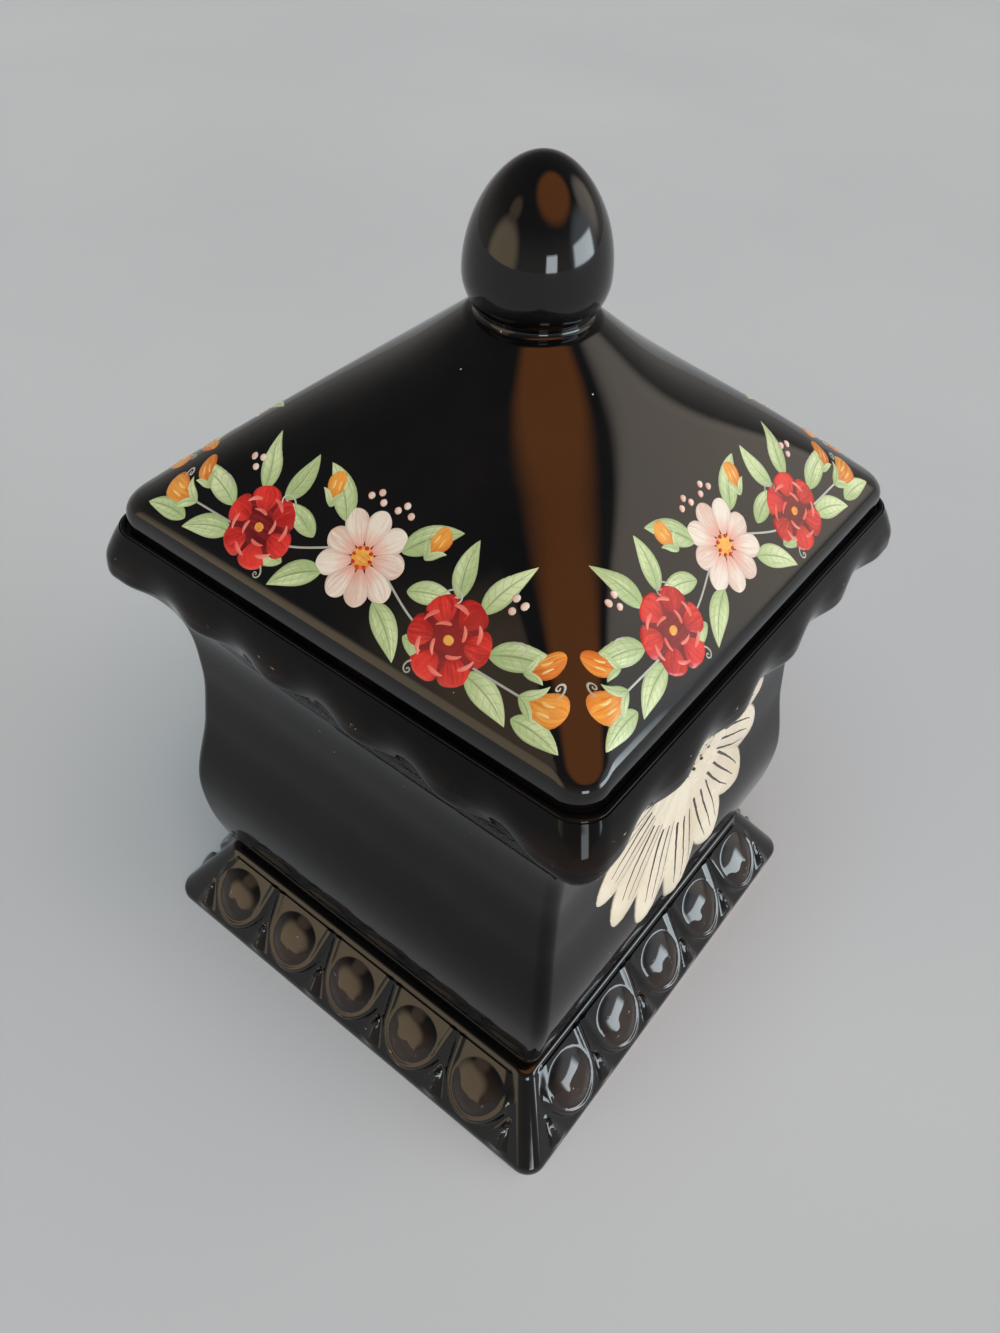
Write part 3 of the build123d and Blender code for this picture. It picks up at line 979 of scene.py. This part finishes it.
def paint_half(pots, surface, side):
    """The vine over the left (-1) or right (1) half of one side of the roof, with all that grows on it."""

    def mirrored(angle):
        return angle if side > 0 else 180 - angle

    reach = np.linspace(0, VINE_END, VINE_STEPS)
    heights = VINE_LOW + VINE_RISE * np.exp(-((reach / VINE_SPAN) ** 2))
    vine = np.column_stack([side * reach, heights])
    pots["tendrils"].ribbon(surface, vine, np.full(VINE_STEPS, VINE_WIDTH), VINE_LIFT)
    for across, up, angle, size, curl in GARLAND_TENDRILS:
        paint_tendril(pots, surface, np.array([side * across, up]), mirrored(angle), size, side * curl)
    for across, up, angle, length in GARLAND_LEAVES:
        width = length * LEAF_WIDTH_SHARE
        pots["leaves"].stroke(
            surface, (side * across, up), mirrored(angle), length, width, leaf_outline, bend=side * LEAF_BEND
        )
    for across, up, angle, length in GARLAND_BUDS:
        paint_bud(pots, surface, np.array([side * across, up]), mirrored(angle), length)
    rosette = np.array([side * ROSETTE_PLACE[0], ROSETTE_PLACE[1]])
    paint_rosette(pots, surface, rosette, ROSETTE_RADIUS, mirrored(ROSETTE_TURN))
    for across, up in GARLAND_PEARLS:
        pots["petals"].dot(surface, (side * across, up), PEARL_SIZE, DOT_LIFT)


def paint_garland(pots, surface):
    """A mirrored vine over one side of the roof: a daisy between rosettes, and buds at the ends."""
    for side in (-1, 1):
        paint_half(pots, surface, side)
    paint_daisy(pots, surface, np.array(DAISY_PLACE), DAISY_RADIUS)


# Pots of enamel: the material's name, then its dark, light, edge and root shades
ENAMELS = {
    "leaves": (
        "leaf_green",
        (0.34, 0.44, 0.21), (0.56, 0.66, 0.38), (0.16, 0.22, 0.10), (0.30, 0.41, 0.18),
    ),
    "petals": (
        "petal_cream",
        (0.60, 0.44, 0.37), (0.70, 0.64, 0.56), (0.42, 0.30, 0.26), (0.66, 0.24, 0.18),
    ),
    "eyes": (
        "eye_orange",
        (0.58, 0.19, 0.03), (0.72, 0.40, 0.08), (0.42, 0.08, 0.02), (0.74, 0.34, 0.05),
    ),
    "wines": (
        "rosette_dark",
        (0.10, 0.004, 0.006), (0.22, 0.010, 0.012), (0.05, 0.003, 0.004), (0.14, 0.006, 0.008),
    ),
    "reds": (
        "rosette_red",
        (0.36, 0.012, 0.012), (0.62, 0.034, 0.026), (0.20, 0.008, 0.008), (0.24, 0.008, 0.010),
    ),
    "roses": (
        "rosette_pink",
        (0.64, 0.09, 0.07), (0.74, 0.24, 0.19), (0.54, 0.05, 0.04), (0.66, 0.12, 0.09),
    ),
    "buds": (
        "bud_orange",
        (0.54, 0.14, 0.02), (0.70, 0.31, 0.05), (0.36, 0.06, 0.012), (0.44, 0.08, 0.015),
    ),
    "lights": (
        "bud_light",
        (0.70, 0.43, 0.12), (0.76, 0.58, 0.27), (0.66, 0.32, 0.07), (0.72, 0.40, 0.10),
    ),
    "tendrils": (
        "tendril_grey",
        (0.24, 0.25, 0.22), (0.50, 0.51, 0.46), (0.20, 0.20, 0.18), (0.34, 0.36, 0.30),
    ),
}
enamels = {pot: enamel(*shades, veined=pot == "leaves") for pot, shades in ENAMELS.items()}
pots = {name: Paint() for name in enamels}
for quarter in range(4):
    paint_garland(pots, roof_side(quarter))
for name, pot in pots.items():
    pot.piece("garland_" + name, enamels[name], "lid")


# Palmette on the front
HUB_HEIGHT = 0.122
HUB_RADIUS = 0.014
PETALS = 9
PETAL_STEP = 20.0
PETAL_LENGTH = 0.067
SIDE_PETAL_LENGTH = 0.046
PETAL_WIDTH = 0.0200
PALMETTE_RELIEF = 0.0016
HUB_DOTS = ((1, 0.0), (7, 0.0042), (13, 0.0084))
HUB_DOT_SIZE = 0.0014
HUB_RELIEF_SHARE = 1.25
HUB_DOT_RELIEF_SHARE = 1.32
SIDE_PETAL_FLATTENING_SHARE = 0.35
SLOPE_NUDGE = 0.0005
INK_DARK = (0.020, 0.016, 0.014)
INK_LIGHT = (0.045, 0.036, 0.030)
INK_ROOT = (0.03, 0.024, 0.02)


def front_face(across, height, lift):
    """The surface of the jar's front: (across, height, lift) to a point in space."""
    half = body_half(height)
    rise = body_half(height + SLOPE_NUDGE) - body_half(height - SLOPE_NUDGE)
    lean = rise / (2 * SLOPE_NUDGE)
    stretch = np.sqrt(1 + lean**2)
    return np.stack([across, -half - lift / stretch, height - lift * lean / stretch], axis=-1)


slip = Paint(fullness=2)
boss = Paint(fullness=2)
ink = Paint(fullness=2)
hub = np.array([0, HUB_HEIGHT])
middle_petal = PETALS // 2
for index in sorted(range(PETALS), key=lambda petal: -abs(petal - middle_petal)):
    lean_share = abs(index - middle_petal) / middle_petal
    length = PETAL_LENGTH + (SIDE_PETAL_LENGTH - PETAL_LENGTH) * lean_share
    angle = (index - middle_petal) * PETAL_STEP - 90
    relief = PALMETTE_RELIEF * (1 - SIDE_PETAL_FLATTENING_SHARE * lean_share)
    slip.stroke(front_face, hub, angle, length, PETAL_WIDTH, petal_outline, relief)
boss.dot(front_face, hub, 2 * HUB_RADIUS, PALMETTE_RELIEF * HUB_RELIEF_SHARE)
for count, radius in HUB_DOTS:
    for index in range(count):
        spot = hub + heading_of(index * 360 / count) * radius
        ink.dot(front_face, spot, HUB_DOT_SIZE, PALMETTE_RELIEF * HUB_DOT_RELIEF_SHARE)
palmette = slip.piece("palmette_slip", cream_slip("cream_slip"), "jar")
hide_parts("front_palmette")
hub_boss = boss.piece("palmette_hub", cream_slip("cream_hub", lined=False), "jar")
ink_brown = enamel("ink_brown", INK_DARK, INK_LIGHT, INK_DARK, INK_ROOT)
ink.piece("palmette_dots", ink_brown, "jar")

# Camera at the photograph's viewpoint
CAMERA_PLACE = Vector((-0.19222, -0.13305, 0.34551))
CAMERA_YAW = 0.95851
CAMERA_PITCH = 0.78689
CAMERA_ROLL = 0.07563
CAMERA_LENS = 28.44
CAMERA_NEAR = 0.01


def place_camera():
    """A camera that looks along its yaw and pitch, rolled about its line of sight."""
    ahead = Vector((math.sin(CAMERA_YAW), math.cos(CAMERA_YAW), 0))
    right = Vector((math.cos(CAMERA_YAW), -math.sin(CAMERA_YAW), 0))
    up = Vector((0, 0, 1))
    look = ahead * math.cos(CAMERA_PITCH) - up * math.sin(CAMERA_PITCH)
    top = ahead * math.sin(CAMERA_PITCH) + up * math.cos(CAMERA_PITCH)
    rolled_right = right * math.cos(CAMERA_ROLL) + top * math.sin(CAMERA_ROLL)
    rolled_top = top * math.cos(CAMERA_ROLL) - right * math.sin(CAMERA_ROLL)
    data = bpy.data.cameras.new("camera")
    data.lens = CAMERA_LENS
    data.clip_start = CAMERA_NEAR
    camera = bpy.data.objects.new("camera", data)
    turn = Matrix((rolled_right, rolled_top, -look)).transposed()
    camera.matrix_world = Matrix.Translation(CAMERA_PLACE) @ turn.to_4x4()
    bpy.context.scene.collection.objects.link(camera)
    bpy.context.scene.camera = camera


place_camera()

# Floor and light
FLOOR_REACH = 12.0
FLOOR_ROUGHNESS = 0.8
FLOOR_COLOURS = ((0.47, 0.51, 0.54), (0.50, 0.54, 0.57))
LIGHT_CENTRE = Vector((0, 0, 0.13))
BACKDROP_COLOUR = (0.54, 0.54, 0.53)
HORIZON_COLOUR = (0.36, 0.345, 0.32)
UPPER_COLOUR = (0.13, 0.125, 0.12)
OVERHEAD_COLOUR = (0.09, 0.09, 0.09)
# Soft patches of the surroundings: azimuth, elevation, full and outer radius in degrees, colour
PATCHES = (
    (-16, 62, 21, 33, (1.7, 0.58, 0.16)),
    (53, 25, 9, 24, (1.5, 1.32, 1.12)),
    (-112, 5, 16, 30, (1.8, 1.42, 0.95)),
    (-115, 38, 5, 13, (0.80, 0.60, 0.42)),
    (22, 10, 12, 30, (1.00, 1.12, 1.20)),
)
# Bright panes of the surroundings: azimuth, elevation, half width and half height in degrees, colour
PANES = (
    (20, 7, 18, 8, (7.2, 8.1, 8.6)),
    (-34, 5, 8, 7, (7.4, 8.0, 8.4)),
)
PANE_EDGES = (0.85, 1.15)
PANE_LEAST_DEPTH = 0.01
SKYLIGHT_AZIMUTH = -50
SKYLIGHT_ELEVATION = 70
SKYLIGHT_SPREAD = 60
SKYLIGHT_STRENGTH = 2.0
SKYLIGHT_COLOUR = (0.62, 0.90, 1.0)


def direction(azimuth, elevation):
    """The way out from the canister at an azimuth and elevation in degrees."""
    turn, rise = math.radians(azimuth), math.radians(elevation)
    return Vector((math.sin(turn) * math.cos(rise), -math.cos(turn) * math.cos(rise), math.sin(rise)))


def pale_floor():
    """A wide plain pale floor, faintly clouded."""
    material, tree, shader, place = new_material("pale_floor")
    cloud = noise(tree, place, 3.0)
    colour = ramp(tree, cloud, list(zip((0.3, 0.7), FLOOR_COLOURS)))
    tree.links.new(colour, shader.inputs["Base Color"])
    shader.inputs["Roughness"].default_value = FLOOR_ROUGHNESS
    mesh = bpy.data.meshes.new("floor")
    corners = [(x * FLOOR_REACH, y * FLOOR_REACH, 0) for x, y in ((-1, -1), (1, -1), (1, 1), (-1, 1))]
    mesh.from_pydata(corners, [], [(0, 1, 2, 3)])
    mesh.materials.append(material)
    floor = bpy.data.objects.new("floor", mesh)
    bpy.context.scene.collection.objects.link(floor)


def skylight():
    """A broad soft light from above, too even to mirror in the glaze."""
    data = bpy.data.lights.new("skylight", "SUN")
    data.energy = SKYLIGHT_STRENGTH
    data.angle = math.radians(SKYLIGHT_SPREAD)
    data.color = SKYLIGHT_COLOUR
    light = bpy.data.objects.new("skylight", data)
    back = direction(SKYLIGHT_AZIMUTH, SKYLIGHT_ELEVATION)
    light.location = LIGHT_CENTRE + back
    light.visible_glossy = False
    light.rotation_euler = (-back).to_track_quat("-Z", "Y").to_euler()
    bpy.context.scene.collection.objects.link(light)


def facing(tree, look, way):
    """How far a direction points along a way, from -1 to 1."""
    return node(tree, "VectorMath", {"operation": "DOT_PRODUCT"}, i0=look, i1=way).outputs["Value"]


def pane_share(tree, look, azimuth, elevation, half_width, half_height):
    """1 inside an upright pane of the surroundings, 0 outside it and soft edges between."""
    ahead = facing(tree, look, direction(azimuth, elevation))
    depth = math_node(tree, "MAXIMUM", ahead, PANE_LEAST_DEPTH)
    share = 1.0
    aside = direction(azimuth + 90, 0)
    above = direction(azimuth, elevation + 90)
    for way, half in ((aside, half_width), (above, half_height)):
        off = math_node(tree, "ABSOLUTE", math_node(tree, "DIVIDE", facing(tree, look, way), depth))
        full, outer = (edge * math.tan(math.radians(half)) for edge in PANE_EDGES)
        share = math_node(tree, "MULTIPLY", remap(tree, off, full, outer, 1.0, 0.0), share)
    return share


def studio_world():
    """Dim surroundings with soft patches and bright panes; the camera sees a plain pale backdrop instead."""
    world = bpy.data.worlds.new("studio")
    bpy.context.scene.world = world
    world.use_nodes = True
    tree = world.node_tree
    look = node(tree, "TexCoord").outputs["Generated"]
    rise = node(tree, "SeparateXYZ", Vector=look).outputs["Z"]
    colour = ramp(tree, rise, [(0.10, HORIZON_COLOUR), (0.50, UPPER_COLOUR), (0.9, OVERHEAD_COLOUR)])
    for azimuth, elevation, full, outer, patch_colour in PATCHES:
        nearness = facing(tree, look, direction(azimuth, elevation))
        edges = [math.cos(math.radians(radius)) for radius in (outer, full)]
        smooth = {"interpolation_type": "SMOOTHSTEP"}
        share = node(tree, "MapRange", smooth, i0=nearness, i1=edges[0], i2=edges[1]).outputs[0]
        colour = mix(tree, share, colour, (*patch_colour, 1.0))
    for *pane, pane_colour in PANES:
        colour = mix(tree, pane_share(tree, look, *pane), colour, (*pane_colour, 1.0))
    seen = node(tree, "LightPath").outputs["Is Camera Ray"]
    colour = mix(tree, seen, colour, (*BACKDROP_COLOUR, 1.0))
    tree.links.new(colour, tree.nodes["Background"].inputs["Color"])


pale_floor()
studio_world()
skylight()
bpy.context.scene.view_settings.view_transform = "Standard"
